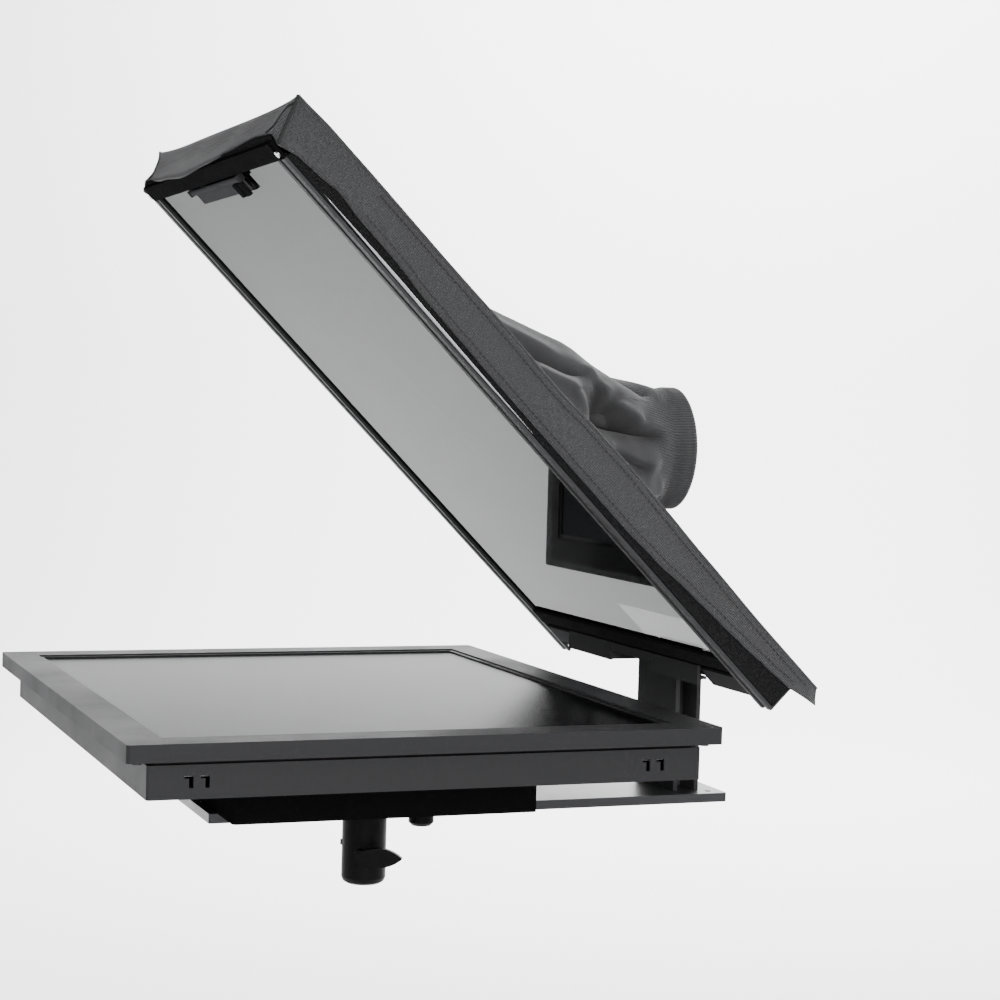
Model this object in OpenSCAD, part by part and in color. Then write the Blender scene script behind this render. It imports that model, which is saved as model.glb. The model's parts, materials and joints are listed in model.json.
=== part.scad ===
// Free-standing studio teleprompter: a face-up reading monitor on a base plate,
// a beam-splitter glass at 45 degrees on a tilting frame, and a fabric hood with
// a lens shroud behind the glass. +Z is up, the reader stands at -Y and the
// video camera at +Y. The origin is the mouth of the stand socket.

/* [Stand socket and base plate] */
// Diameter of the stand pin that the socket takes
pin_d = 16; // [12:0.5:20]
// Outer diameter of the stand socket
socket_d = 29; // [26:0.5:34]
// Height of the socket below the base plate
socket_h = 51.5; // [45:0.5:60]
// Width of the base plate
plate_w = 90; // [80:1:100]
// Thickness of the base plate
plate_t = 6; // [5:0.5:8]
// Length of the base plate towards the video camera
plate_rear = 240; // [238:1:260]
// Length of the base plate towards the reader
plate_front = 115; // [100:1:120]
// Distance from the socket to the knob that locks the monitor
knob_y = 39; // [38:0.5:42]
// Diameter of the lock knob
knob_d = 16.7; // [14:0.1:20]

/* [Monitor] */
// Outer width of the monitor bezel
bezel_w = 430; // [420:1:460]
// Outer depth of the monitor bezel
bezel_d = 352; // [346:1:356]
// Height of the bezel's skirt
bezel_h = 10; // [9:0.5:12]
// Width of the visible screen
screen_w = 378; // [370:1:382]
// Depth of the visible screen
screen_d = 302; // [296:1:306]
// Distance from the socket to the middle of the screen
screen_y = -26.5; // [-30:0.5:-24]
// Height of the main housing
housing_h = 21; // [20:0.5:24]
// Width of the rear box that carries the electronics
box_w = 168; // [150:1:180]
// Depth of the rear box
box_d = 197; // [180:1:200]
// Height of the rear box
box_h = 40.2; // [38:0.2:42]

/* [Upright and hinge] */
// Width of the upright
upright_w = 61; // [56:0.5:61]
// Depth of the upright
upright_d = 18.5; // [18:0.5:20]
// Height of the upright above the base plate
upright_h = 97.5; // [96:0.5:98]
// Width of the hinge bracket's front plate
bracket_w = 210; // [160:5:240]
// Diameter of the pivot bolt
pivot_d = 8; // [6:1:8]

/* [Glass and frame] */
// Thickness of the beam-splitter glass
glass_t = 3; // [3:0.5:4]
// Half of the clear width between the frame's rails
clear_w2 = 152; // [145:1:156]
// Clear length of the glass above its lower velcro strip
clear_l = 404; // [380:1:410]
// Width of each rail
rail_w = 14; // [12:1:16]
// How far the rails stand in front of the glass
rail_front = 2; // [1.5:0.5:4]
// How far the rails' side walls reach behind the glass
rail_back = 22; // [18:0.5:22]

/* [Hood and lens shroud] */
// Thickness of the hood fabric
cloth_t = 1.7; // [1.2:0.1:1.8]
// Height of the lens axis above the origin
lens_z = 287; // [280:1:292]
// Radius of the shroud's gathered end
shroud_r = 39; // [36:0.5:45]
// Distance from the socket to the shroud's end
shroud_y = 210; // [200:1:215]

/* [Hidden] */
$fn = 48;
e = 0.01;
wall = 1.5;

// Heights of the stack, from the socket's mouth up
plate_z = socket_h;
plate_top = plate_z + plate_t;
box_z = plate_top + 0.3;
housing_z = box_z + box_h;
bezel_z = housing_z + housing_h;
bezel_top = bezel_z + bezel_h;
bezel_skin = 2;
screen_z = bezel_top - bezel_skin;

housing_w = bezel_w - 10;
housing_d = bezel_d - 24;
gap_h = 2.2;
gap_in = 4;
box_y = screen_y + 15;
flange_w = bezel_w - 5;
flange_d = bezel_d - 5;

// Slot of the base plate in which the monitor slides
slide_back = 30;
slide_front = 12;
stud_d = 10;
guide_gap = 38;
slot_w = stud_d + 0.6;
slot_y0 = knob_y - slide_front - stud_d / 2 - 0.5;
slot_y1 = knob_y + guide_gap + slide_back + stud_d / 2 + 0.5;

// Upright and pivot
upright_y = 207;
upright_z = plate_top;
web_w = 18;
upright_skin = 3;
pivot_y = upright_y + upright_d / 2;
pivot_z = upright_z + upright_h - 8;
run_gap = 0.06;
ear_x = upright_w / 2 + 0.5;
ear_t = 2;

// Plane of the glass: local x is across, y runs up the glass, z is its face's normal
glass_angle = 45;
glass_y = 176.8;
glass_z = 163.2;
glass_low = -21;
rail_x1 = clear_w2 + rail_w;
rail_low = -44;
glass_top = clear_l + 6;
glass_w2 = clear_w2 + 8;

// Front plate of the hinge bracket
apron_y = 185.5;
apron_z0 = 139;
apron_z1 = 151.5;

// Hood outline in the glass plane's side view: [along the glass, off the glass]
hood_x = rail_x1 + 2.3 + cloth_t;
hood_outer = [[-62, -19.5], [-55, -28.5], [424, -28.5], [420, 1],
    [400, -4.5], [110, -3.6], [50, -7.6], [0, -11], [-40, -15]];
hood_inner = [[-60, -17.8], [-53.8, -26.8], [422, -26.8], [418.3, 3], [418.3, 20], [-60, 20]];
shroud_low = 95;
shroud_high = 310;
shroud_w2 = 100;
shroud_off = -28.5;
seam = 6;
cuff = 14;
cutout_w2 = 64;
cutout_top = -8;

button_x = -housing_w / 2;
button_z = housing_z + 11;
button_y = function(i) screen_y - 40 + 16 * i;

module on_glass() translate([0, glass_y, glass_z]) rotate([180 - glass_angle, 0, 0]) children();
// A solid of the glass plane's side view, w wide across the middle
module side_prism(points, w) translate([-w / 2, 0, 0]) rotate([90, 0, 90]) linear_extrude(w) polygon(points);
module box_at(x0, x1, y0, y1, z0, z1) translate([x0, y0, z0]) cube([x1 - x0, y1 - y0, z1 - z0]);
module both_sides() { children(); mirror([1, 0, 0]) children(); }
module along_x(x0, x1, r) translate([x0, 0, 0]) rotate([0, 90, 0]) cylinder(h = x1 - x0, r = r);
module round_rect(w, d, r) {
    square([w - 2 * r, d], center = true);
    square([w, d - 2 * r], center = true);
    for (x = [-1, 1], y = [-1, 1]) translate([x * (w / 2 - r), y * (d / 2 - r)]) circle(r);
}
module slab(w, d, h, r) linear_extrude(h) round_rect(w, d, r);

// ---- stand socket, base plate and upright ----

lever_turn = -24;
lever_z = 20.5;
lever_hub = 18.5;
paddle_l = 31;
paddle_h = 12.5;
paddle_r = 23;
module at_lever() rotate([0, 0, lever_turn]) translate([0, 0, lever_z]) children();

module at_set_screw() rotate([0, 0, -112]) translate([0, 0, 26]) children();

module stand_socket() color([0.09, 0.09, 0.1]) difference() {
    rotate_extrude() polygon([[0, 0], [0, socket_h], [socket_d / 2 + 3.5, socket_h],
        [socket_d / 2 + 3.5, socket_h - 2.5], [socket_d / 2, socket_h - 4], [socket_d / 2, 4],
        [socket_d / 2 - 1.2, 1.4], [socket_d / 2 - 3.5, 0]]);
    translate([0, 0, -1]) cylinder(h = 39, r = pin_d / 2 + 0.1);
    translate([0, 0, 30]) cylinder(h = 30, r = 4.1);
    at_lever() along_x(0, 20, 3.06);
    at_set_screw() along_x(0, 20, 2.1);
}
module socket_bolt() color([0.2, 0.2, 0.21]) {
    translate([0, 0, plate_top - 4.5]) cylinder(h = 4.5, r1 = 4, r2 = 8);
    translate([0, 0, 39]) cylinder(h = plate_top - 4.5 - 39, r = 4);
}
module socket_set_screw() color([0.15, 0.15, 0.16]) at_set_screw() difference() {
    along_x(9, socket_d / 2 + 1, 2);
    along_x(socket_d / 2 - 2, 20, 1, $fn = 6);
}
module clamp_screw() color([0.35, 0.35, 0.37]) at_lever() along_x(pin_d / 2 + 0.5, lever_hub + 2.5, 3);
// Oval paddle that stands out sideways from the clamp screw, with a short neck
module clamp_lever() color([0.08, 0.08, 0.09]) at_lever() difference() {
    union() {
        along_x(lever_hub - 2.5, lever_hub + 4, 4.4);
        translate([lever_hub, paddle_l / 2 - 4, 0]) rotate([90, 0, 90]) linear_extrude(4.6) intersection() {
            translate([0, paddle_r - paddle_h / 2]) circle(paddle_r, $fn = 96);
            translate([0, paddle_h / 2 - paddle_r]) circle(paddle_r, $fn = 96);
            square([paddle_l, paddle_h], center = true);
        }
    }
    along_x(lever_hub - 6, lever_hub + 2.5, 3);
}
module slot(y0, y1, w, z0, h) {
    for (y = [y0 + w / 2, y1 - w / 2]) translate([0, y, z0]) cylinder(h = h, r = w / 2);
    box_at(-w / 2, w / 2, y0 + w / 2, y1 - w / 2, z0, z0 + h);
}
end_hole_x = 36.5;
end_hole_y = 230;
screw_x = 5;
module base_plate() color([0.62, 0.62, 0.64]) difference() {
    translate([0, (plate_rear - plate_front) / 2, plate_z])
        slab(plate_w, plate_rear + plate_front, plate_t, 1.5);
    translate([0, 0, plate_z - 1]) cylinder(h = 3, r = 4.1);
    translate([0, 0, plate_z + 1.5]) cylinder(h = 4.5 + e, r1 = 4.1, r2 = 8.2);
    slot(slot_y0, slot_y1, slot_w, plate_z - 1, plate_t + 2);
    both_sides() translate([end_hole_x, end_hole_y, plate_z - 1]) cylinder(h = plate_t + 2, r = 2.2);
    both_sides() translate([screw_x, pivot_y, plate_z - 1]) cylinder(h = plate_t + 2, r = 2.6);
    both_sides() translate([screw_x, pivot_y, plate_z - e]) cylinder(h = 2.5, r1 = 4.9, r2 = 2.6);
}
module upright() color([0.11, 0.11, 0.12]) difference() {
    union() {
        box_at(-upright_w / 2, upright_w / 2, upright_y, upright_y + upright_skin,
            upright_z, upright_z + upright_h);
        box_at(-upright_w / 2, upright_w / 2, upright_y + upright_d - upright_skin, upright_y + upright_d,
            upright_z, upright_z + upright_h);
        box_at(-web_w / 2, web_w / 2, upright_y + upright_skin - e, upright_y + upright_d - upright_skin + e,
            upright_z, upright_z + upright_h);
    }
    translate([0, pivot_y, pivot_z]) along_x(-web_w, web_w, pivot_d / 2 + run_gap);
    both_sides() translate([screw_x, pivot_y, upright_z - 1]) cylinder(h = 16, r = 2.6);
}
module upright_screws() color([0.3, 0.3, 0.32]) both_sides() translate([screw_x, pivot_y, plate_z]) {
    cylinder(h = 2.3, r1 = 4.7, r2 = 2.5);
    cylinder(h = plate_t + 14, r = 2.5);
}
// Spacer tubes on the pivot bolt, in the upright's side channels
module pivot_spacers() color([0.4, 0.4, 0.42]) both_sides() translate([0, pivot_y, pivot_z]) difference() {
    along_x(web_w / 2, upright_w / 2 - 0.2, 5.5);
    along_x(0, upright_w, pivot_d / 2 + run_gap);
}

// ---- monitor ----

screw_in = 5;
module bezel_corners() for (x = [-1, 1], y = [-1, 1])
    translate([x * (flange_w / 2 - screw_in - 3), screen_y + y * (flange_d / 2 - screw_in), 0]) children();
module monitor_bezel() color([0.15, 0.15, 0.16]) difference() {
    union() {
        difference() {
            translate([0, screen_y, bezel_z]) slab(bezel_w, bezel_d, bezel_h, 2.5);
            translate([0, screen_y, bezel_z - 1]) slab(bezel_w - 4, bezel_d - 4, bezel_h - bezel_skin + 1, 1);
        }
        bezel_corners() translate([0, 0, bezel_z + wall]) cylinder(h = bezel_h - wall - 1, r = 3.5);
    }
    translate([0, screen_y, bezel_z]) slab(screen_w + 6, screen_d + 6, bezel_h + 1, 1);
    bezel_corners() translate([0, 0, bezel_z]) cylinder(h = 7, r = 1.6);
}
module bezel_screws() color([0.2, 0.2, 0.2]) bezel_corners() {
    translate([0, 0, bezel_z - 2]) cylinder(h = 2, r = 2.8);
    translate([0, 0, bezel_z - e]) cylinder(h = 6, r = 1.5);
}
module screen_gasket() color([0.04, 0.04, 0.04]) translate([0, screen_y, screen_z]) difference() {
    slab(screen_w + 6, screen_d + 6, 0.9, 1);
    translate([0, 0, -1]) slab(screen_w, screen_d, 3, 1);
}
module lcd_panel() color([0.22, 0.23, 0.24]) translate([0, screen_y, screen_z - 3])
    slab(screen_w + 16, screen_d + 14, 3, 1);
module backlight_unit() color([0.75, 0.76, 0.78]) translate([0, screen_y, housing_z + 10])
    slab(screen_w + 16, screen_d + 14, screen_z - 3 - housing_z - 10, 2);

// A pair of hooked slots in the housing's side wall, starting at y
hook_w = 2.4;
hook_h = 7;
hook_step = 9;
module hooked_slots(y) for (i = [0, 1]) {
    y0 = y + i * hook_step;
    top = housing_z + 6 + hook_h;
    box_at(housing_w / 2 - 4, housing_w / 2 + 1, y0 + 2.6, y0 + 2.6 + hook_w, housing_z + 6, top);
    box_at(housing_w / 2 - 4, housing_w / 2 + 1, y0, y0 + 3, top - 1.8, top);
}
module box_corners() for (x = [-1, 1], y = [-1, 1])
    translate([x * (box_w / 2 + 4.5), box_y + y * (box_d / 2 - 20), 0]) children();
module monitor_housing() color([0.13, 0.13, 0.14]) difference() {
    union() {
        difference() {
            union() {
                translate([0, screen_y, housing_z]) slab(housing_w, housing_d, housing_h - gap_h, 2);
                translate([0, screen_y, housing_z])
                    slab(housing_w - 2 * gap_in, housing_d - 2 * gap_in, housing_h, 1);
            }
            translate([0, screen_y, housing_z + wall])
                slab(housing_w - 2 * wall, housing_d - 2 * wall, housing_h - gap_h - 2 * wall, 1);
            translate([0, screen_y, housing_z + 5])
                slab(housing_w - 2 * gap_in - 2 * wall, housing_d - 2 * gap_in - 2 * wall, housing_h, 1);
        }
        difference() {
            translate([0, screen_y, bezel_z]) slab(flange_w, flange_d, wall, 1);
            translate([0, screen_y, bezel_z - 1])
                slab(housing_w - 2 * gap_in - 2 * wall, housing_d - 2 * gap_in - 2 * wall, 5, 1);
        }
    }
    translate([0, box_y, housing_z - 1]) slab(box_w - 30, box_d - 30, 4, 4);
    both_sides() { hooked_slots(-170); hooked_slots(100); }
    bezel_corners() translate([0, 0, bezel_z - 1]) cylinder(h = 4, r = 1.6);
    box_corners() translate([0, 0, housing_z - 1]) cylinder(h = 4, r = 1.6);
    for (i = [0:4]) translate([0, button_y(i), button_z]) along_x(button_x - 1, button_x + 4, 3.08);
}
module rear_box() color([0.1, 0.1, 0.1]) difference() {
    union() {
        translate([0, box_y, box_z]) slab(box_w, box_d, box_h, 3);
        translate([0, box_y, housing_z - wall]) slab(box_w + 18, box_d - 20, wall, 2);
    }
    translate([0, box_y, box_z + 2]) slab(box_w - 3, box_d - 3, box_h, 2);
    translate([0, knob_y, box_z - 1]) cylinder(h = 5, r = stud_d / 2 + 0.1);
    translate([0, knob_y + guide_gap, box_z - 1]) cylinder(h = 5, r = stud_d / 2 + 0.1);
    box_corners() translate([0, 0, housing_z - 3]) cylinder(h = 4, r = 1.6);
    box_at(-box_w / 2 - 1, -box_w / 2 + 4, box_y - 14, box_y + 14, box_z + 9, box_z + 29);
    box_at(-box_w / 2 - 1, -box_w / 2 + 4, box_y + 40, box_y + 72, box_z + 12, box_z + 25);
}
module rear_box_screws() color([0.2, 0.2, 0.2]) box_corners() {
    translate([0, 0, housing_z - wall - 2]) cylinder(h = 2, r = 2.8);
    translate([0, 0, housing_z - wall - e]) cylinder(h = 5, r = 1.5);
}
// Threaded block inside the rear box, which the lock stud screws into
module mounting_block() color([0.5, 0.5, 0.52]) difference() {
    box_at(-22, 22, knob_y - 14, knob_y + guide_gap + 7, box_z + 2, box_z + 12);
    translate([0, knob_y, box_z]) cylinder(h = 20, r = stud_d / 2 + 0.04);
    translate([0, knob_y + guide_gap, box_z]) cylinder(h = 20, r = stud_d / 2 + 0.04);
}
// Plain pin that keeps the monitor straight in the base plate's slot
module guide_pin() color([0.5, 0.5, 0.52]) translate([0, knob_y + guide_gap, plate_z + 0.5])
    cylinder(h = box_z + 11 - plate_z, r = stud_d / 2);
module driver_board() color([0.05, 0.3, 0.15])
    box_at(-70, -26, box_y - 60, box_y + 75, box_z + 8, box_z + 9.6);
module power_board() color([0.55, 0.45, 0.2]) box_at(30, 74, box_y - 70, box_y + 50, box_z + 8, box_z + 9.6);
module power_inlet() color([0.05, 0.05, 0.05]) difference() {
    union() {
        box_at(-box_w / 2 - 0.8, -box_w / 2, box_y - 18, box_y + 18, box_z + 7, box_z + 31);
        box_at(-box_w / 2 - e, -box_w / 2 + 18, box_y - 13.7, box_y + 13.7, box_z + 10.2, box_z + 28.8);
    }
    box_at(-box_w / 2 - 2, -box_w / 2 + 14, box_y - 12, box_y + 12, box_z + 12, box_z + 27);
    for (z = [-15.8, 15.8]) translate([0, box_y + z, box_z + 19])
        along_x(-box_w / 2 - 3, -box_w / 2 + 1, 0.9);
}
module video_socket() color([0.3, 0.35, 0.6]) difference() {
    box_at(-box_w / 2 - 3, -box_w / 2 + 12, box_y + 41, box_y + 71, box_z + 12.5, box_z + 24.5);
    box_at(-box_w / 2 - 4, -box_w / 2 + 4, box_y + 44, box_y + 68, box_z + 14.5, box_z + 22.5);
}
module button_board() color([0.05, 0.3, 0.15])
    box_at(button_x + 6.8, button_x + 8.4, button_y(0) - 8, button_y(4) + 8, button_z - 5, button_z + 5);
module button(i) color([0.07, 0.07, 0.07]) translate([0, button_y(i), button_z]) {
    along_x(button_x - 2, button_x + 5, 3);
    along_x(button_x + wall + 0.2, button_x + wall + 1.2, 4.2);
}
module button_power() button(0);
module button_menu() button(1);
module button_up() button(2);
module button_down() button(3);
module button_source() button(4);
module lock_knob() color([0.08, 0.08, 0.08]) translate([0, knob_y, 0]) difference() {
    rotate_extrude() polygon([[0, plate_z - 15.7], [knob_d / 2 - 2.2, plate_z - 15.7],
        [knob_d / 2, plate_z - 13.5], [knob_d / 2, plate_z - 4], [knob_d / 2 - 0.8, plate_z - 3.2],
        [8.2, plate_z - 0.3], [0, plate_z - 0.3]]);
    translate([0, 0, plate_z - 12]) cylinder(h = 20, r = stud_d / 2);
}
module lock_stud() color([0.5, 0.5, 0.52]) translate([0, knob_y, plate_z - 12])
    cylinder(h = box_z + 11 - plate_z + 12, r = stud_d / 2);

// ---- tilting frame: hinge bracket, glass and rails ----

module hinge_bracket() color([0.12, 0.12, 0.13]) difference() {
    union() {
        box_at(-bracket_w / 2, bracket_w / 2, apron_y, apron_y + 2, apron_z0, apron_z1);
        box_at(-bracket_w / 2, bracket_w / 2, apron_y + 2 - e, apron_y + 6.5, apron_z0 + 3.6, apron_z0 + 5.4);
        both_sides() translate([ear_x, 0, 0]) rotate([90, 0, 90]) linear_extrude(ear_t) union() {
            polygon([[apron_y + 1, apron_z0 + 0.5], [apron_y + 1, apron_z0 + 5.4],
                [192, apron_z0 + 5.2], [199, apron_z0 + 11],
                [205, pivot_z + 8], [pivot_y, pivot_z + 9], [pivot_y, pivot_z - 8], [205, apron_z0 + 0.5]]);
            translate([pivot_y, pivot_z]) circle(9);
        }
        both_sides() on_glass() box_at(ear_x, ear_x + 34, trough_low - 2, trough_low, -5, 2);
    }
    box_at(-ear_x, ear_x, apron_y - 1, apron_y + 10, apron_z0 - 1, apron_z0 + 6.4);
    both_sides() box_at(ear_x + 1, ear_x + 3, apron_y - 1, apron_y + 3, apron_z0 + 6.4, apron_z1 - 1);
    translate([0, pivot_y, pivot_z]) along_x(-60, 60, pivot_d / 2 + 0.1);
    trough_screw_places() cylinder(h = 6, r = 1.7);
}
// Screws that hold the glass trough to the bracket's sloping tabs
module trough_screw_places() on_glass() both_sides() for (x = [ear_x + 12, ear_x + 28])
    translate([x, trough_low - 4, -1.5]) rotate([-90, 0, 0]) children();
module trough_screws() color([0.6, 0.6, 0.62]) trough_screw_places() {
    cylinder(h = 2, r = 2.8);
    cylinder(h = 6.5, r = 1.6);
}
module pivot_bolt() color([0.45, 0.45, 0.47]) translate([0, pivot_y, pivot_z]) {
    along_x(-ear_x - ear_t - 9, ear_x + ear_t + 1.6, pivot_d / 2);
    difference() {
        along_x(ear_x + ear_t + 1.6, ear_x + ear_t + 6, 6.5);
        along_x(ear_x + ear_t + 3.5, ear_x + ear_t + 7, 2.5, $fn = 6);
    }
}
module pivot_nut() color([0.45, 0.45, 0.47]) translate([0, pivot_y, pivot_z]) difference() {
    translate([-ear_x - ear_t - 8, 0, 0]) rotate([0, 90, 0]) cylinder(h = 6.4, r = 7, $fn = 6);
    along_x(-60, 0, pivot_d / 2);
}
module pivot_washers() color([0.6, 0.6, 0.62]) both_sides() translate([0, pivot_y, pivot_z]) difference() {
    along_x(ear_x + ear_t, ear_x + ear_t + 1.6, 8);
    along_x(0, 60, pivot_d / 2 + 0.1);
}
trough_low = glass_low - 3;
module glass_trough() color([0.1, 0.1, 0.11]) on_glass() {
    difference() {
        box_at(-clear_w2, clear_w2, trough_low, glass_low, -14, 2);
        both_sides() for (x = [ear_x + 12, ear_x + 28])
            translate([x, trough_low - 4, -1.5]) rotate([-90, 0, 0]) cylinder(h = 6.6, r = 1.7);
    }
    box_at(-rail_x1 + 3, rail_x1 - 3, trough_low, glass_low, -14, -glass_t - 3.1);
    both_sides() box_at(rail_x1 - 5.5, rail_x1 - 3, trough_low, glass_low + 8, -14, -glass_t - 3.1);
    box_at(-clear_w2, clear_w2, glass_low - e, -17.5, 0, 2);
    both_sides() box_at(bracket_w / 2 - 3, clear_w2, trough_low - 9, trough_low + e, 0, 2);
    box_at(-clear_w2, clear_w2, glass_low - e, -12, -glass_t - 2, -glass_t);
}
module beam_splitter_glass() color([0.5, 0.52, 0.54, 0.5]) on_glass()
    box_at(-glass_w2, glass_w2, glass_low, glass_top, -glass_t, 0);
// Rail of the frame at +X: front bar with a groove, rear lip and deep side wall
module rail() on_glass() difference() {
    union() {
        box_at(clear_w2, rail_x1 - 3 + e, rail_low, clear_l, 0, rail_front);
        box_at(rail_x1 - 3, rail_x1, rail_low, clear_l, -rail_back, rail_front);
        box_at(clear_w2 + 1, rail_x1 - 3 + e, rail_low, clear_l, -glass_t - 3, -glass_t);
    }
    box_at(clear_w2 + 4, clear_w2 + 8.5, rail_low - 1, clear_l + 1, rail_front - 1.1, rail_front + 1);
}
module rail_right() color([0.13, 0.13, 0.14]) rail();
module rail_left() color([0.13, 0.13, 0.14]) mirror([1, 0, 0]) rail();
module top_rail() color([0.08, 0.08, 0.08]) on_glass() difference() {
    union() {
        box_at(-rail_x1, rail_x1, clear_l, clear_l + 9, 0, rail_front);
        box_at(-rail_x1, rail_x1, clear_l + 9 - e, clear_l + 12, -rail_back, rail_front);
        box_at(-rail_x1 + 3, rail_x1 - 3, clear_l + 1, clear_l + 9, -glass_t - 3, -glass_t);
        both_sides() box_at(rail_x1 - 5.5, rail_x1 - 3, clear_l - 16, clear_l + 9 + e, -14, -glass_t - 3.1);
    }
    frame_screw_places() translate([0, 0, -5]) cylinder(h = 9, r = 1.1);
}
// Small screws at the frame's top corners
module frame_screw_places() both_sides() translate([rail_x1 - 2.4, clear_l + 4, 0]) children();
module frame_screws() color([0.75, 0.75, 0.77]) on_glass() frame_screw_places() {
    translate([0, 0, rail_front]) cylinder(h = 1.2, r = 2.1);
    cylinder(h = rail_front + 0.5, r = 1);
}
module velcro_lower() color([0.05, 0.05, 0.05]) on_glass()
    box_at(-clear_w2 + 1, clear_w2 - 1, -12, 0, 0, 2.5);
module side_velcro() on_glass() box_at(rail_x1, rail_x1 + 2, -42, clear_l, -20, 0);
module velcro_right() color([0.05, 0.05, 0.05]) side_velcro();
module velcro_left() color([0.05, 0.05, 0.05]) mirror([1, 0, 0]) side_velcro();
module velcro_top() color([0.05, 0.05, 0.05]) on_glass() {
    box_at(-rail_x1 + 4, rail_x1 - 4, clear_l + 12, clear_l + 14, -20, 0);
    box_at(-rail_x1 + 6, rail_x1 - 6, clear_l + 0.5, clear_l + 11.5, rail_front, rail_front + 1.3);
}

// ---- latch that keeps the glass in the frame ----

latch_s = clear_l - 2.9;
latch_off = 2.5;
latch_x0 = -57;
latch_x1 = 61;
module at_latch() on_glass() translate([0, latch_s, latch_off]) children();
module latch_ears() color([0.3, 0.3, 0.31]) on_glass() difference() {
    for (x = [latch_x0 - 4, latch_x1 + 0.5]) {
        box_at(x, x + 3.5, clear_l - 4.6, clear_l, 0.3, latch_off + 2.1);
    }
    translate([0, latch_s, latch_off]) along_x(-80, 80, 1.05);
}
module latch_pin() color([0.6, 0.6, 0.62]) at_latch() along_x(latch_x0 - 4, latch_x1 + 4, 1);
module latch_plate() color([0.33, 0.33, 0.34]) difference() {
    union() {
        at_latch() along_x(latch_x0, latch_x1, 1.9);
        on_glass() box_at(latch_x0, latch_x1, clear_l - 13, latch_s, 0.6, 1.8);
    }
    at_latch() along_x(latch_x0 - 1, latch_x1 + 1, 1.05);
}
module latch_pads() color([0.04, 0.04, 0.04]) on_glass() for (x = [latch_x1 - 20, latch_x1 - 9])
    box_at(x, x + 8, clear_l - 15, clear_l - 5.2, 1.8, 4.2);

// ---- fabric hood and lens shroud ----

module hood() color([0.09, 0.09, 0.1]) on_glass() difference() {
    side_prism(hood_outer, 2 * hood_x);
    side_prism(hood_inner, 2 * (hood_x - cloth_t));
    box_at(-shroud_w2 + seam, shroud_w2 - seam, shroud_low + seam, shroud_high - seam, -40, -10);
    box_at(-cutout_w2, cutout_w2, -80, cutout_top, -40, 20);
}
module shroud_form(t) hull() {
    on_glass() box_at(-shroud_w2 + t, shroud_w2 - t, shroud_low + t, shroud_high - t,
        shroud_off - 0.5, shroud_off + 2 * t);
    translate([0, shroud_y - cuff - 0.5, lens_z]) rotate([-90, 0, 0])
        cylinder(h = 0.5 + t, r = shroud_r - t, $fn = 32);
}
module lens_shroud() color([0.1, 0.1, 0.11]) difference() {
    union() {
        shroud_form(0);
        translate([0, shroud_y - cuff - e, lens_z]) rotate([-90, 0, 0]) cylinder(h = cuff, r = shroud_r);
    }
    shroud_form(cloth_t);
    translate([0, shroud_y - cuff - 1, lens_z]) rotate([-90, 0, 0])
        cylinder(h = cuff + 2, r = shroud_r - cloth_t);
}
module shroud_band() color([0.06, 0.06, 0.06])
translate([0, shroud_y - 4.5, lens_z]) rotate([-90, 0, 0]) difference() {
    cylinder(h = 4, r = shroud_r + 1);
    translate([0, 0, -1]) cylinder(h = 10, r = shroud_r + 0.05);
}

stand_socket();
socket_bolt();
socket_set_screw();
clamp_lever();
clamp_screw();
base_plate();
upright();
upright_screws();
pivot_spacers();
monitor_bezel();
bezel_screws();
screen_gasket();
lcd_panel();
backlight_unit();
monitor_housing();
rear_box();
rear_box_screws();
mounting_block();
guide_pin();
driver_board();
power_board();
power_inlet();
video_socket();
button_board();
button_power();
button_menu();
button_up();
button_down();
button_source();
lock_knob();
lock_stud();
hinge_bracket();
pivot_bolt();
pivot_nut();
pivot_washers();
glass_trough();
beam_splitter_glass();
rail_left();
rail_right();
top_rail();
frame_screws();
trough_screws();
velcro_lower();
velcro_left();
velcro_right();
velcro_top();
latch_ears();
latch_pin();
latch_plate();
latch_pads();
hood();
lens_shroud();
shroud_band();
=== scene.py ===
"""Looks of the studio teleprompter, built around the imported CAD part. Units are metres."""

import json
import math

import bmesh
import bpy
from mathutils import Matrix, Vector, noise


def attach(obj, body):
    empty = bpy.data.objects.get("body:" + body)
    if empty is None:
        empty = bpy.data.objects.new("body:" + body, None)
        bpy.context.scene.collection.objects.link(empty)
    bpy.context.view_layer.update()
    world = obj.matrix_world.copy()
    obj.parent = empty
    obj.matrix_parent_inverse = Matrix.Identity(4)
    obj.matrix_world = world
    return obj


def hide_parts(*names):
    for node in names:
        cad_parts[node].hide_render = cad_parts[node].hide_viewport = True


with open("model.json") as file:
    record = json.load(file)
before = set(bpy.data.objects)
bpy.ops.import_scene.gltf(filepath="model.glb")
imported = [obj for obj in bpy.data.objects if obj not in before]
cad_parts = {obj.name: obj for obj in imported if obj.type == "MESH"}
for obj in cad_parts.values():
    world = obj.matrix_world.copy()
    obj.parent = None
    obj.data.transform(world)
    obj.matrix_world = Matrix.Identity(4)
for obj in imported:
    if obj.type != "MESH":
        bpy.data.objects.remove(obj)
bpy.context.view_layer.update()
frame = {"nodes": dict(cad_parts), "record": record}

MM = 0.001
nodes = frame["nodes"]
slot_of = {s["node"]: s["material_slot"] for s in frame["record"]["subparts"]}

# ---------------------------------------------------------------- camera

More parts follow.
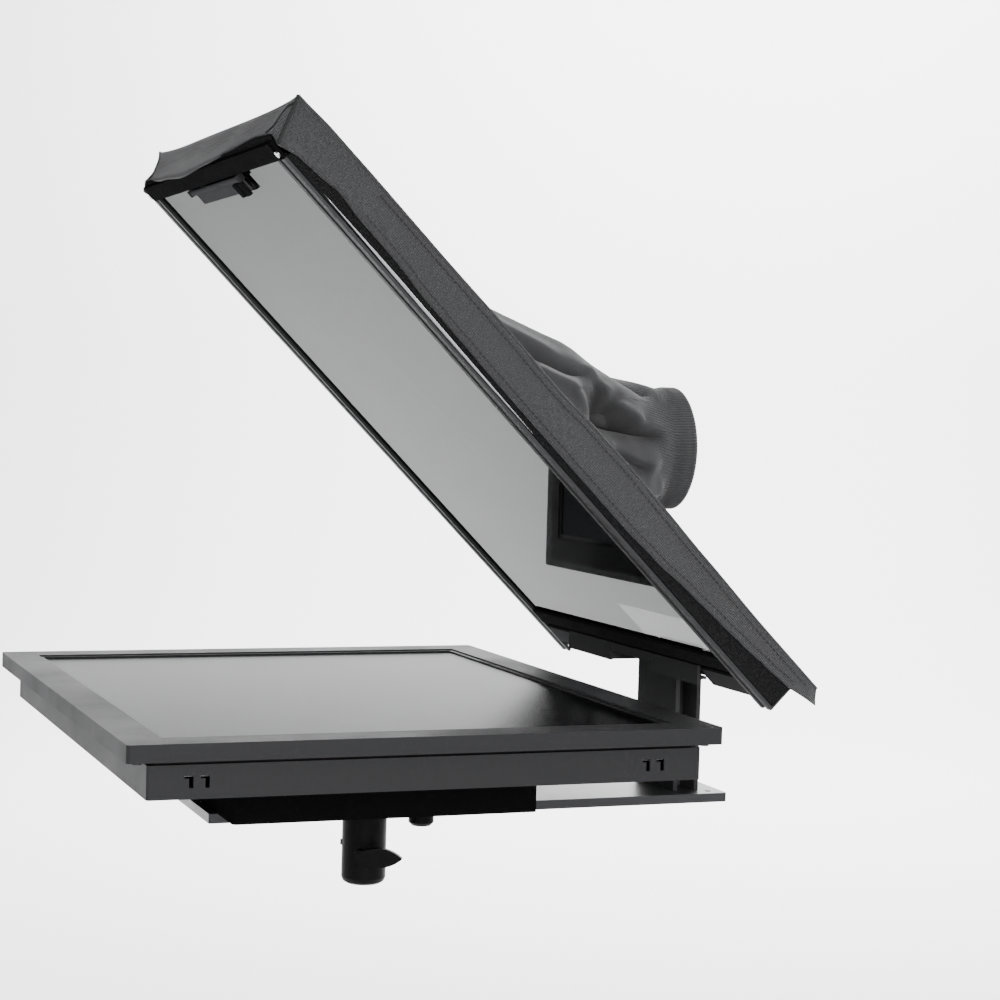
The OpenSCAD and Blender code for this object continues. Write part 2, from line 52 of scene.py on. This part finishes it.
CAMERA_AT = Vector((1.3865, -0.4491, 0.3182))
CAMERA_AXES = ((0.35779, 0.93340, 0.02739), (-0.05620, -0.00775, 0.99839), (0.93211, -0.35875, 0.04968))
camera_data = bpy.data.cameras.new("view")
camera_data.sensor_width = 36.0
camera_data.lens = 81.02
camera_data.shift_x = 0.0058
camera_data.shift_y = 0.0092
camera_data.clip_start = 0.05
camera = bpy.data.objects.new("view", camera_data)
turn = Matrix(CAMERA_AXES).transposed().to_4x4()
camera.matrix_world = Matrix.Translation(CAMERA_AT) @ turn
bpy.context.scene.collection.objects.link(camera)
bpy.context.scene.camera = camera

# ---------------------------------------------------------------- the glass plane's frame

GLASS_FOOT = Vector((0, 0.1768, 0.1632))
UP_GLASS = Vector((0, -math.sqrt(0.5), math.sqrt(0.5)))
OFF_GLASS = Vector((0, -math.sqrt(0.5), -math.sqrt(0.5)))


def on_glass(x, s, off):
    """A point x across, s up the glass and off in front of it, all in millimetres."""
    return GLASS_FOOT + Vector((x * MM, 0, 0)) + UP_GLASS * (s * MM) + OFF_GLASS * (off * MM)


def smooth(t):
    t = min(max(t, 0.0), 1.0)
    return t * t * (3 - 2 * t)


def bump_at(v, centre, width):
    return math.exp(-(((v - centre) / width) ** 2))


# ---------------------------------------------------------------- materials

materials = {}


def new_material(name, color, rough, metallic=0.0, alpha=1.0, specular=0.5):
    m = bpy.data.materials.new(name)
    m.use_nodes = True
    b = m.node_tree.nodes["Principled BSDF"]
    b.inputs["Base Color"].default_value = (*color, 1.0)
    b.inputs["Roughness"].default_value = rough
    b.inputs["Metallic"].default_value = metallic
    b.inputs["Alpha"].default_value = alpha
    b.inputs["Specular IOR Level"].default_value = specular
    materials[name] = m
    return m


def edge_tint(name, value):
    """Dims a metallic material's reflection at a glancing angle."""
    b = materials[name].node_tree.nodes["Principled BSDF"]
    b.inputs["Specular Tint"].default_value = (value, value, value, 1.0)


def add_bump(m, height, strength, distance):
    tree = m.node_tree
    b = tree.nodes["Principled BSDF"]
    bump = tree.nodes.new("ShaderNodeBump")
    bump.inputs["Strength"].default_value = strength
    bump.inputs["Distance"].default_value = distance
    tree.links.new(height, bump.inputs["Height"])
    tree.links.new(bump.outputs["Normal"], b.inputs["Normal"])


def object_space(tree, rotation=(0, 0, 0), scale=(1, 1, 1)):
    where = tree.nodes.new("ShaderNodeTexCoord")
    mapping = tree.nodes.new("ShaderNodeMapping")
    mapping.inputs["Rotation"].default_value = rotation
    mapping.inputs["Scale"].default_value = scale
    tree.links.new(where.outputs["Object"], mapping.inputs["Vector"])
    return mapping.outputs["Vector"]


def noise_texture(tree, vector, scale, detail=3.0, roughness=0.6):
    n = tree.nodes.new("ShaderNodeTexNoise")
    n.inputs["Scale"].default_value = scale
    n.inputs["Detail"].default_value = detail
    n.inputs["Roughness"].default_value = roughness
    tree.links.new(vector, n.inputs["Vector"])
    return n.outputs["Fac"]


def mottle(m, value, low, high):
    """Colour that wanders between low and high with value."""
    tree = m.node_tree
    ramp = tree.nodes.new("ShaderNodeValToRGB")
    ramp.color_ramp.elements[0].position = 0.3
    ramp.color_ramp.elements[0].color = (*low, 1)
    ramp.color_ramp.elements[1].position = 0.7
    ramp.color_ramp.elements[1].color = (*high, 1)
    tree.links.new(value, ramp.inputs["Fac"])
    tree.links.new(ramp.outputs["Color"], tree.nodes["Principled BSDF"].inputs["Base Color"])


def rough_range(m, value, low, high):
    """Roughness that wanders between low and high with value."""
    tree = m.node_tree
    spread = tree.nodes.new("ShaderNodeMapRange")
    spread.inputs["From Min"].default_value = 0.3
    spread.inputs["From Max"].default_value = 0.7
    spread.inputs["To Min"].default_value = low
    spread.inputs["To Max"].default_value = high
    tree.links.new(value, spread.inputs["Value"])
    tree.links.new(spread.outputs["Result"], tree.nodes["Principled BSDF"].inputs["Roughness"])


def coated(name, color, rough, grain_scale, grain, metallic=0.0, stretch=(1, 1, 1), specular=0.5):
    """Painted, moulded or brushed stuff: a fine grain in the surface and a slow drift in its shine."""
    m = new_material(name, color, rough, metallic, specular=specular)
    tree = m.node_tree
    add_bump(m, noise_texture(tree, object_space(tree, scale=stretch), grain_scale), grain, 0.0004)
    slow = noise_texture(tree, object_space(tree), 14.0, 4.0)
    rough_range(m, slow, rough * 0.88, min(rough * 1.12, 1.0))
    return m


def woven(name, low, high, pitch, strength, tilt=0.0, fuzz=0.0, sheen=0.12):
    """Cloth: crossed threads of the given pitch, with uneven colour."""
    m = new_material(name, high, 0.88, specular=2.0 * sheen)
    tree = m.node_tree
    b = tree.nodes["Principled BSDF"]
    b.inputs["Sheen Weight"].default_value = sheen
    b.inputs["Sheen Roughness"].default_value = 0.5
    vector = object_space(tree, rotation=(tilt, 0, 0))
    total = None
    for axis in ("X", "Y", "Z"):
        w = tree.nodes.new("ShaderNodeTexWave")
        w.wave_type = "BANDS"
        w.bands_direction = axis
        w.inputs["Scale"].default_value = 0.314 / pitch
        w.inputs["Distortion"].default_value = 0.6
        w.inputs["Detail"].default_value = 1.0
        tree.links.new(vector, w.inputs["Vector"])
        if total is None:
            total = w.outputs["Fac"]
            continue
        add = tree.nodes.new("ShaderNodeMath")
        add.operation = "ADD"
        tree.links.new(total, add.inputs[0])
        tree.links.new(w.outputs["Fac"], add.inputs[1])
        total = add.outputs["Value"]
    grain = noise_texture(tree, vector, 1.4 / pitch, 2.0)
    mixed = tree.nodes.new("ShaderNodeMath")
    mixed.operation = "MULTIPLY_ADD"
    mixed.inputs[1].default_value = 0.5 + fuzz
    tree.links.new(grain, mixed.inputs[0])
    tree.links.new(total, mixed.inputs[2])
    add_bump(m, mixed.outputs["Value"], strength, pitch * 0.35)
    mottle(m, grain, low, high)
    return m


GLASS_TILT = math.radians(-45)
coated("black_cast", (0.004, 0.004, 0.004), 0.42, 900, 0.35, specular=0.06)
coated("plate_paint", (0.045, 0.045, 0.048), 0.36, 1200, 0.25, metallic=0.7)
coated("black_paint", (0.023, 0.023, 0.024), 0.50, 1300, 0.30, stretch=(1, 1, 0.15), specular=0.10)
coated("bezel_paint", (0.026, 0.026, 0.027), 0.50, 1100, 0.30, specular=0.06)
coated("steel_dark", (0.06, 0.06, 0.064), 0.38, 1500, 0.2, metallic=0.9)
coated("steel", (0.52, 0.52, 0.54), 0.28, 1500, 0.2, metallic=1.0)
coated("rubber", (0.008, 0.008, 0.008), 0.6, 900, 0.3, specular=0.3)
new_material("screen", (0.090, 0.092, 0.096), 0.20, metallic=1.0)
edge_tint("screen", 0.26)
coated("board", (0.02, 0.10, 0.05), 0.4, 500, 0.2)
coated("white_plastic", (0.75, 0.76, 0.78), 0.5, 600, 0.1)
coated("plastic_black", (0.010, 0.010, 0.010), 0.38, 900, 0.3, specular=0.4)
new_material("mirror_glass", (0.18, 0.182, 0.184), 0.02, metallic=1.0, alpha=0.80)
edge_tint("mirror_glass", 0.42)
woven("hood_cloth", (0.020, 0.020, 0.021), (0.062, 0.062, 0.064), 0.0012, 0.9, GLASS_TILT)
woven("shroud_cloth", (0.032, 0.032, 0.033), (0.050, 0.050, 0.052), 0.0006, 0.35)
woven("hook_tape", (0.002, 0.002, 0.002), (0.030, 0.030, 0.031), 0.0010, 1.0, GLASS_TILT, fuzz=2.5,
      sheen=0.0)
new_material("thread", (0.004, 0.004, 0.004), 0.8)
# Bright metal for the painted highlight strips along the rails' outer edges
new_material("painted_rail_highlight", (0.42, 0.42, 0.43), 0.30, metallic=1.0)
# Painted shade: a near-black copy of black_paint with no shine, for the rear box and the top rail
coated("painted_shade_black", (0.005, 0.005, 0.005), 0.60, 1300, 0.30, specular=0.0)
coated("dark_paint", (0.036, 0.036, 0.037), 0.50, 1300, 0.30, specular=0.0)
coated("rail_paint", (0.040, 0.040, 0.041), 0.60, 1300, 0.30, specular=0.12)
coated("latch_grey", (0.060, 0.060, 0.063), 0.45, 1500, 0.2, specular=0.0)
# Pieces whose finish differs from the rest of their slot; the rear box and the top rail get painted shade,
# a near-black copy of the paint
FINISH_AND_PAINTED_SHADE = {
    "clamp_lever": "black_cast", "lock_knob": "black_cast", "rear_box": "painted_shade_black",
    "top_rail": "painted_shade_black", "upright": "dark_paint", "hinge_bracket": "dark_paint",
    "glass_trough": "dark_paint", "latch_pin": "dark_paint", "latch_ears": "dark_paint",
    "rail_left": "rail_paint", "rail_right": "rail_paint", "latch_plate": "latch_grey",
}

for name, node in nodes.items():
    node.data.materials.clear()
    node.data.materials.append(materials[FINISH_AND_PAINTED_SHADE.get(name, slot_of[name])])

# ---------------------------------------------------------------- softened edges of the hard parts

EDGE = {
    "base_plate": 0.5, "upright": 0.5, "monitor_housing": 0.5, "rear_box": 1.2, "hinge_bracket": 0.3,
    "glass_trough": 0.3, "rail_left": 0.4, "rail_right": 0.4, "top_rail": 0.4, "clamp_lever": 0.6,
    "lcd_panel": 0.4, "stand_socket": 0.5, "lock_knob": 0.5, "latch_plate": 0.2, "latch_pads": 0.6,
    "velcro_lower": 0.6, "velcro_left": 0.5, "velcro_right": 0.5, "velcro_top": 0.5, "pivot_nut": 0.4,
    "power_inlet": 0.5, "video_socket": 0.3, "shroud_band": 1.2,
}
for name, width in EDGE.items():
    soft = nodes[name].modifiers.new("edge", "BEVEL")
    soft.width = width * MM
    soft.segments = 3
    soft.limit_method = "ANGLE"
    soft.angle_limit = math.radians(40)
    soft.harden_normals = False


def add_mesh(name, verts, faces, material, body, smooth_faces=True):
    mesh = bpy.data.meshes.new(name)
    mesh.from_pydata([tuple(v) for v in verts], [], faces)
    mesh.validate()
    mesh.materials.append(materials[material])
    if smooth_faces:
        mesh.shade_smooth()
    o = bpy.data.objects.new(name, mesh)
    bpy.context.scene.collection.objects.link(o)
    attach(o, body)
    return o


def thicken(o, thickness, offset):
    solid = o.modifiers.new("thickness", "SOLIDIFY")
    solid.thickness = thickness
    solid.offset = offset
    bpy.context.view_layer.update()
    shown = o.evaluated_get(bpy.context.evaluated_depsgraph_get())
    thick = bpy.data.meshes.new_from_object(shown)
    o.modifiers.clear()
    o.data = thick
    return o


# ---------------------------------------------------------------- hood

HOOD_X = 170.0
CLOTH = 1.7
S_LOW, S_HIGH = -55.0, 424.0

# Front hem and rear fold of the side panels: (place up the glass, place off the glass), in mm
HEM = (
    (-66, -21), (-55, -19), (-40, -15), (-20, -13), (0, -11), (20, -9.5), (50, -7.6), (80, -4.8),
    (110, -3.6), (200, -3.6), (230, -3.8), (260, -4.2), (290, -4.6), (320, -6.5), (350, -6.6),
    (370, -8.3), (385, -5.8), (400, -4.2), (406, -2.0), (413, 0.5),
)
FOLD = ((-60, -28.0), (0, -27.8), (60, -28.8), (100, -29.8), (130, -30.8), (160, -30.3), (200, -28.6),
        (240, -29.4), (300, -28.8), (360, -28.9), (395, -28.4), (424, -26.8))


def along_line(line, s):
    """Value at s on a line of (place, value) points, eased from point to point."""
    for (s0, v0), (s1, v1) in zip(line, line[1:]):
        if s <= s1:
            return v0 + (v1 - v0) * smooth(max(s - s0, 0) / (s1 - s0))
    return line[-1][1]


def front_hem(s, sign):
    """Place of the front hem off the glass; the far side hangs a little differently."""
    return along_line(HEM, s if sign > 0 else s * 0.97 + 12 * smooth(s / 200))


def rear_off(x, s):
    """The rear panel sags a little between its seams."""
    side = 1 - (x / HOOD_X) ** 2
    wave = noise.noise(Vector((x * 0.011, s * 0.009, 2.0)))
    return along_line(FOLD, s) - (1.2 * wave - 0.5) * side


def side_x(s, q, sign):
    """Sideways place of the side panel, q = 0 at its rear fold and 1 at the hem."""
    wave = noise.noise(Vector((s * 0.016, q * 1.1, 5.0 * sign)))
    return sign * (HOOD_X - 0.2 + 0.9 * wave * smooth(q * 2) * smooth((S_HIGH - s) / 40))


# Droop of the top panel's front hem: (place across, place off the glass), in mm
TOP_HEM = (
    (-170, -2.0), (-160, -2.4), (-88, 5.0), (-12, 11.0), (27, 4.5), (64, -1.0), (114, -7.0),
    (150, -5.0), (170, -2.0),
)


def top_edge(x):
    """The top panel's rear edge: pulled up at its two corners."""
    return S_HIGH - 1.5 + 2.5 * (x / HOOD_X) ** 6


def corner_pull(s, t, sign):
    """How far a side panel's top corners flare outwards."""
    return (7.0 if sign < 0 else 1.5) * smooth((s - 350) / 74) * (2 * t - 1) ** 2


verts, faces, index = [], [], {}


def vertex(p):
    key = (round(p.x, 6), round(p.y, 6), round(p.z, 6))
    if key not in index:
        index[key] = len(verts)
        verts.append(p)
    return index[key]


def grid(rows):
    """Quads between rows of points; equal points are joined."""
    ids = [[vertex(p) for p in row] for row in rows]
    for a, b in zip(ids, ids[1:]):
        for k in range(len(a) - 1):
            quad = [a[k], a[k + 1], b[k + 1], b[k]]
            quad = [v for i, v in enumerate(quad) if v not in quad[:i]]
            if len(quad) > 2:
                faces.append(quad)


ALONG = 72
ACROSS = 60
s_steps = [S_LOW + (S_HIGH - S_LOW) * i / ALONG for i in range(ALONG + 1)]
x_steps = [-HOOD_X + 0.2 + (2 * HOOD_X - 0.4) * i / ACROSS for i in range(ACROSS + 1)]
# Opening at the upright: half width, and its top edge
CUT_X = 64.0
CUT_S = -8.0
# Sewn base of the shroud: half width, low and high edge; the hood is cut CUT_IN inside it
SHROUD_X, SHROUD_LOW, SHROUD_HIGH = 97.0, 98.0, 307.0
CUT_IN = 12.0
# The top panel lies over the hook tape: half width, and the lowest place up the glass
TAPE_X, TAPE_S = 165.0, 419.0

rear_rows = []
for s in s_steps:
    row = []
    for x in x_steps:
        lift = smooth((s - 380) / 44) * (top_edge(x) - S_HIGH)
        flare = corner_pull(s, 0, math.copysign(1, x)) * smooth((abs(x) - 120) / 50)
        row.append(on_glass(x + math.copysign(flare, x), s + lift, rear_off(x, s)))
    rear_rows.append(row)
for i in range(ALONG):
    for k in range(ACROSS):
        mid_x = (x_steps[k] + x_steps[k + 1]) / 2
        mid_s = (s_steps[i] + s_steps[i + 1]) / 2
        if abs(mid_x) < CUT_X and mid_s < CUT_S:
            continue
        if abs(mid_x) < SHROUD_X - CUT_IN and SHROUD_LOW + CUT_IN < mid_s < SHROUD_HIGH - CUT_IN:
            continue
        ids = [vertex(p) for p in (rear_rows[i][k], rear_rows[i][k + 1],
                                   rear_rows[i + 1][k + 1], rear_rows[i + 1][k])]
        faces.append(ids)
Q_STEPS = 8
for sign in (-1, 1):
    rows = []
    for i, s in enumerate(s_steps):
        row = []
        for q in range(Q_STEPS + 1):
            t = q / Q_STEPS
            low_s = s - 7 * t * (1 - smooth((s - S_LOW) / 60)) - 11 * t * smooth((s - 330) / 94)
            off = rear_off(HOOD_X, s) * (1 - t) + front_hem(low_s, sign) * t
            x = side_x(s, t, sign) + sign * corner_pull(s, t, sign)
            row.append(rear_rows[i][ACROSS if sign > 0 else 0] if q == 0 else on_glass(x, low_s, off))
        rows.append(row)
    grid(rows)
    if sign == -1:
        far_top = rows[-1]
    else:
        near_top = rows[-1]
top_rows = []
for k, x in enumerate(x_steps):
    row = []
    hem_s, hem_off = TAPE_S - 5 * smooth((abs(x) - TAPE_X) / 5), along_line(TOP_HEM, x)
    for q in range(Q_STEPS + 1):
        t = q / Q_STEPS
        if q == 0:
            row.append(rear_rows[-1][k])
        elif k == 0:
            row.append(far_top[q])
        elif k == ACROSS:
            row.append(near_top[q])
        else:
            dip = 2.4 * math.sin(math.pi * t) * noise.noise(Vector((x * 0.02, t * 1.5, 9.0)))
            s = top_edge(x) + (hem_s - top_edge(x)) * t ** 1.6 + dip - 1.5 * math.sin(math.pi * t)
            if abs(x) < TAPE_X:
                s = max(s, TAPE_S)
            row.append(on_glass(x, s, rear_off(x, S_HIGH) * (1 - t) + hem_off * t))
    top_rows.append(row)
grid(top_rows)

hood = add_mesh("hood_fabric", verts, faces, "hood_cloth", "glass_frame")
bm = bmesh.new()
bm.from_mesh(hood.data)
bmesh.ops.recalc_face_normals(bm, faces=bm.faces)
outward = sum((f.normal.dot(-OFF_GLASS) for f in bm.faces if abs(f.normal.x) < 0.3), 0.0)
if outward < 0:
    bmesh.ops.reverse_faces(bm, faces=bm.faces)
bm.to_mesh(hood.data)
bm.free()
hood.data.shade_smooth()
thicken(hood, CLOTH * MM, -1.0)
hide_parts("hood")

# ---------------------------------------------------------------- lens shroud

RING_CENTRE = Vector((0, 0.2120, 0.2870))
RING_R = 0.0390
CUFF = 0.016
AROUND = 528
RINGS = 64
CUFF_RINGS = 8
RIBS = 132
RIB_DEPTH, CUFF_HEM = 0.6, 0.9
BASE_OFF = -29.6
CREASE_SPAN = 0.26
shroud_verts, shroud_faces = [], []
BASE_MIDDLE = on_glass(0, (SHROUD_LOW + SHROUD_HIGH) / 2, BASE_OFF)


def rectangle_point(angle):
    """Point of the sewn base's outline, angle from the +X side towards up the glass."""
    c, s = math.cos(angle), math.sin(angle)
    half_x, half_s = SHROUD_X, (SHROUD_HIGH - SHROUD_LOW) / 2
    power = 9.0
    reach = (abs(c / half_x) ** power + abs(s / half_s) ** power) ** (-1 / power)
    return c * reach, (SHROUD_LOW + SHROUD_HIGH) / 2 + s * reach


# Creases of the shroud: depth and width in mm, then the path as
# (share of the way to the ring, angle in degrees)
CREASES = (
    (-17, 6.0, ((0.12, 38), (0.32, 38), (0.44, 38), (0.58, 38), (0.66, 37))),
    (5, 4.5, ((0.12, 45), (0.32, 45), (0.44, 45), (0.62, 45))),
    (-28, 8.0, ((0.64, 40), (0.66, 34), (0.58, 8), (0.57, -6), (0.68, -5), (0.84, 4), (0.96, 8))),
    (-20, 9.0, ((0.68, 30), (0.69, 14), (0.72, 4), (0.80, 5))),
    (9, 5.0, ((0.66, 50), (0.71, 26), (0.78, 20), (0.84, 12), (0.97, 20))),
    (7, 8.0, ((0.10, 54), (0.40, 56), (0.66, 60), (0.76, 70))),
    (9, 6.0, ((0.30, 24), (0.50, 22), (0.52, 2), (0.50, -14))),
    (6, 7.0, ((0.54, -18), (0.74, -22), (0.92, -18))),
    (-9, 6.0, ((0.52, -28), (0.62, -30), (0.78, -34))),
    (6, 7.0, ((0.60, -42), (0.80, -44), (0.95, -40))),
    (-9, 7.0, ((0.78, 84), (0.84, 64), (0.95, 50))),
    (-13, 8.0, ((0.10, 132), (0.45, 138), (0.70, 160), (0.92, 176))),
    (7, 8.0, ((0.15, 112), (0.55, 118), (0.80, 132))),
    (-10, 8.0, ((0.40, -150), (0.70, -160), (0.92, -172))),
    (-8, 9.0, ((0.35, -95), (0.65, -90), (0.90, -96))),
    (6, 9.0, ((0.35, -122), (0.60, -124), (0.90, -130))),
)


def surface(t, angle):
    """The shroud without its creases, at share t of the way from the sewn base to the ring."""
    bx, bs = rectangle_point(angle)
    base = on_glass(bx, bs, BASE_OFF)
    start = RING_CENTRE - Vector((0, CUFF, 0))
    ring = start + RING_R * Vector((math.cos(angle), 0, math.sin(angle)))
    p = base.lerp(ring, t)
    centre = BASE_MIDDLE.lerp(start, t)
    sag = 0.13 * math.sin(math.pi * min(t * 1.15, 1.0)) * (0.25 + 0.75 * abs(math.cos(angle)))
    top = 0.05 * bump_at(t, 0.42, 0.22) * smooth(math.sin(angle)) - 0.10 * bump_at(t, 0.84, 0.10) * smooth(
        math.sin(angle))
    return centre, (p - centre) * (1 - sag + top)


def crease_reach(p, path):
    """Distance in mm from a point to a crease's line, and the share along that line."""
    best, share, run = 1e9, 0.0, 0.0
    total = sum((b - a).length for a, b in zip(path, path[1:]))
    for a, b in zip(path, path[1:]):
        d = b - a
        k = min(max((p - a).dot(d) / d.length_squared, 0.0), 1.0)
        reach = (a + d * k - p).length / MM
        if reach < best:
            best, share = reach, (run + k * d.length) / total
        run += d.length
    return best, share


crease_lines = []
for depth, width, path in CREASES:
    line = []
    for (t0, a0), (t1, a1) in zip(path, path[1:]):
        for k in range(6):
            centre, out = surface(t0 + (t1 - t0) * k / 6, math.radians(a0 + (a1 - a0) * k / 6))
            line.append(centre + out)
    centre, out = surface(path[-1][0], math.radians(path[-1][1]))
    line.append(centre + out)
    crease_lines.append((depth, width, line))

for i in range(RINGS + 1):
    t = min(i / (RINGS - CUFF_RINGS), 1.0)
    for k in range(AROUND):
        angle = 2 * math.pi * k / AROUND
        centre, out = surface(t, angle)
        p = centre + out
        push = 0.0
        for depth, width, line in crease_lines:
            if (p - line[0]).length > CREASE_SPAN:
                continue
            reach, share = crease_reach(p, line)
            if reach < width * 3:
                ends = smooth(share * 5) * smooth((1 - share) * 4)
                push += depth * ends * math.exp(-((reach / width) ** 1.35))
        push *= smooth(t * 9) * smooth((1.02 - t) * 7)
        gather = smooth((t - 0.84) / 0.16)
        push += RIB_DEPTH * gather * math.sin(angle * RIBS)
        push += 2.0 * noise.noise(p * 28) * smooth(t * 6) * smooth((1 - t) * 5)
        p = centre + out.normalized() * (out.length + push * MM)
        if i > RINGS - CUFF_RINGS:
            p += out.normalized() * CUFF_HEM * MM * smooth((i - RINGS + 6) / 2)
            p = p + Vector((0, CUFF * (i - RINGS + CUFF_RINGS) / CUFF_RINGS, 0))
        shroud_verts.append(p)
for i in range(RINGS):
    for k in range(AROUND):
        a, b = i * AROUND + k, i * AROUND + (k + 1) % AROUND
        shroud_faces.append([a, b, b + AROUND, a + AROUND])
shroud = add_mesh("shroud_fabric", shroud_verts, shroud_faces, "shroud_cloth", "glass_frame")
thicken(shroud, 1.0 * MM, -1.0)
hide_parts("lens_shroud")

# ---------------------------------------------------------------- seams, stitches and painted rail highlights


def tube(name, points, radius, material, body, sides=8):
    """A thin round strand through the points, closed at both ends; radius is one value or one per point."""
    radii = radius if isinstance(radius, list) else [radius] * len(points)
    verts, faces = [], []
    for i, p in enumerate(points):
        ahead = points[min(i + 1, len(points) - 1)] - points[max(i - 1, 0)]
        turn = ahead.to_track_quat("Z", "X")
        for k in range(sides):
            a = 2 * math.pi * k / sides
            verts.append(p + turn @ Vector((math.cos(a), math.sin(a), 0)) * radii[i])
    for i in range(len(points) - 1):
        for k in range(sides):
            a, b = i * sides + k, i * sides + (k + 1) % sides
            faces.append([a, b, b + sides, a + sides])
    faces.append(list(range(sides))[::-1])
    faces.append([len(verts) - sides + k for k in range(sides)])
    return add_mesh(name, verts, faces, material, body)


def stitches(name, point_at, start, end, step, length, material, body):
    """A row of short threads; point_at gives the place for a run in mm."""
    verts, faces = [], []
    run = start
    while run < end:
        a, b = point_at(run), point_at(run + length)
        d = (b - a).normalized()
        side = d.cross(Vector((1, 0, 0))).normalized()
        lift = d.cross(side).normalized()
        if abs(lift.x) < 0.5:
            side, lift = lift, side
        w, h = 0.25 * MM, 0.28 * MM
        ring = [side * w + lift * h, -side * w + lift * h, -side * w - lift * h, side * w - lift * h]
        base = len(verts)
        verts += [a + v for v in ring] + [b + v for v in ring]
        for k in range(4):
            faces.append([base + k, base + (k + 1) % 4, base + 4 + (k + 1) % 4, base + 4 + k])
        faces += [[base + 3, base + 2, base + 1, base], [base + 4, base + 5, base + 6, base + 7]]
        run += step
    return add_mesh(name, verts, faces, material, body, smooth_faces=False)


STITCH_STEP, STITCH_LENGTH = 3.4, 2.3
# Painted highlight, a bright metal strip on a rail's outer side: where it starts up the glass, its length,
# its steps
HIGHLIGHT_FROM, HIGHLIGHT_LENGTH, HIGHLIGHT_STEPS = 190, 185, 24

for sign, side in ((-1, "left"), (1, "right")):
    fold = [row[ACROSS if sign > 0 else 0] for row in rear_rows]
    tube(f"hood_piping_{side}", fold, 0.9 * MM, "hood_cloth", "glass_frame")
    top_fold = near_top if sign > 0 else far_top
    tube(f"corner_seam_{side}", top_fold, 0.9 * MM, "thread", "glass_frame")
    inset = [round(4 * q / Q_STEPS) for q in range(Q_STEPS + 1)]
    across = [ACROSS - k if sign > 0 else k for k in inset]
    mitre = [top_rows[k][q] + UP_GLASS * 0.2 * MM for q, k in enumerate(across)]
    tube(f"mitre_{side}", mitre, 0.7 * MM, "thread", "glass_frame")

    def along_fold(s, g=sign):
        return on_glass(side_x(s, 0.18, g) + g * 0.2, s, rear_off(HOOD_X, s) + 4.2)

    def along_hem(s, g=sign):
        return on_glass(side_x(s, 0.8, g) + g * 0.2, s, front_hem(s, g) - 4.2)

    for seam, point_at, start in (("fold", along_fold, -48), ("hem", along_hem, -40)):
        stitches(f"{seam}_stitches_{side}", point_at, start, 350, STITCH_STEP, STITCH_LENGTH,
                 "thread", "glass_frame")
    # Painted highlight: a strip thickest at its middle, standing in for the glint on the rail's rounded
    # edge
    run = [HIGHLIGHT_FROM + HIGHLIGHT_LENGTH * i / HIGHLIGHT_STEPS for i in range(HIGHLIGHT_STEPS + 1)]
    highlight_line = [on_glass(sign * 168.1, s, -0.2 - 1.0 * smooth((s - 240) / 110)) for s in run]
    highlight_r = [(0.15 + 0.95 * math.sin(math.pi * i / HIGHLIGHT_STEPS)) * MM for i in range(HIGHLIGHT_STEPS + 1)]
    tube(f"painted_rail_highlight_{side}", highlight_line, highlight_r, "painted_rail_highlight", "glass_frame")

# ---------------------------------------------------------------- stage and light

pale = new_material("studio_pale", (0.90, 0.90, 0.90), 0.9, specular=0.1)
FLOOR_Z = -0.35
BACK, BEND_R = 3.2, 0.8
profile = [(-6.0, FLOOR_Z)]
for i in range(13):
    a = math.pi / 2 * i / 12
    profile.append((BACK + BEND_R * math.sin(a), FLOOR_Z + BEND_R * (1 - math.cos(a))))
profile.append((BACK + BEND_R, 4.0))
away = Vector((-CAMERA_AXES[2][0], -CAMERA_AXES[2][1], 0)).normalized()
sideways = Vector((away.y, -away.x, 0))
stage_verts = [away * d + sideways * w + Vector((0, 0, z)) for w in (-6, 6) for d, z in profile]
count = len(profile)
stage_faces = [[i, i + 1, i + 1 + count, i + count] for i in range(count - 1)]
stage_mesh = bpy.data.meshes.new("backdrop")
stage_mesh.from_pydata([tuple(v) for v in stage_verts], [], stage_faces)
stage_mesh.materials.append(pale)
stage_mesh.shade_smooth()
backdrop = bpy.data.objects.new("backdrop", stage_mesh)
bpy.context.scene.collection.objects.link(backdrop)

world = bpy.data.worlds.new("studio")
world.use_nodes = True
world.node_tree.nodes["Background"].inputs["Color"].default_value = (0.95, 0.97, 1.0, 1)
world.node_tree.nodes["Background"].inputs["Strength"].default_value = 0.42
bpy.context.scene.world = world


def softbox(name, at, aim, size, watts):
    data = bpy.data.lights.new(name, "AREA")
    data.shape = "RECTANGLE"
    data.size, data.size_y = size
    data.energy = watts
    lamp = bpy.data.objects.new(name, data)
    lamp.location = at
    lamp.rotation_euler = (Vector(aim) - Vector(at)).to_track_quat("-Z", "Y").to_euler()
    bpy.context.scene.collection.objects.link(lamp)


softbox("key", (2.6, -0.5, 0.9), (0, 0, 0.2), (1.2, 0.9), 72)
softbox("rim", (0.9, 2.0, 1.5), (0, 0.1, 0.2), (1.6, 0.8), 34)
softbox("top", (0.1, 0.0, 2.4), (0, 0, 0.1), (1.3, 1.3), 16)
softbox("backdrop_wash", (-1.6, 1.4, 2.2), (-3.0, 1.2, 0.4), (2.4, 1.4), 420)
